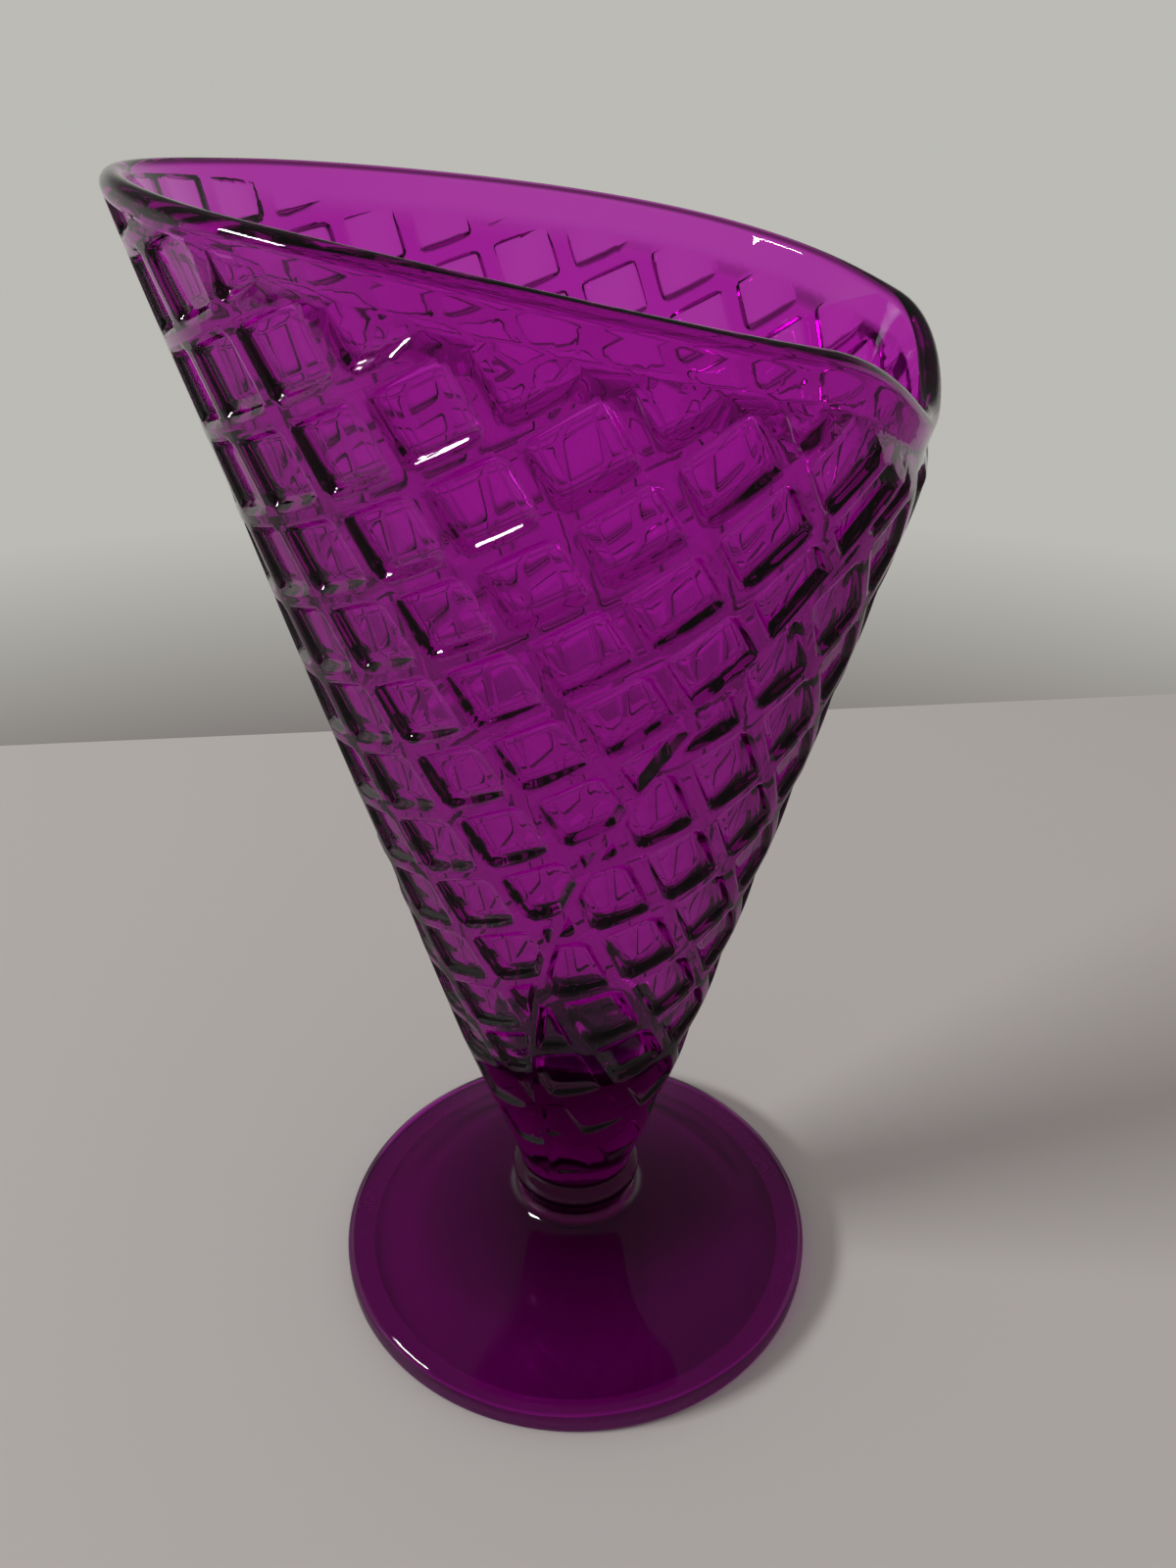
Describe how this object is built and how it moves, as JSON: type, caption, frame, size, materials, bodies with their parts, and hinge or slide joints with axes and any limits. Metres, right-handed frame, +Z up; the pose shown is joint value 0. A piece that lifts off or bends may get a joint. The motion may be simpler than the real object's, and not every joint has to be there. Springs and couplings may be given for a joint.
{
  "type": "footed sundae glass",
  "caption": "Tall footed dessert glass shaped like a rolled waffle cone, with a slanted rounded rim and a round foot, in violet pressed glass.",
  "frame": {"origin": "centre of the foot's resting ring, on the table", "axes": "+Z up along the foot's and the cone's axis; the cone's mouth is highest towards -X and the wafer's seam runs up the -Y side, leaning towards +X"},
  "size_m": [0.0944, 0.0961, 0.1692],
  "materials": {
    "violet_glass": "clear deep violet pressed glass, fire-polished and glossy all over"
  },
  "bodies": {
    "root": {"waffle_bowl": "violet_glass", "neck_button": "violet_glass", "foot": "violet_glass"}
  },
  "joints": []
}
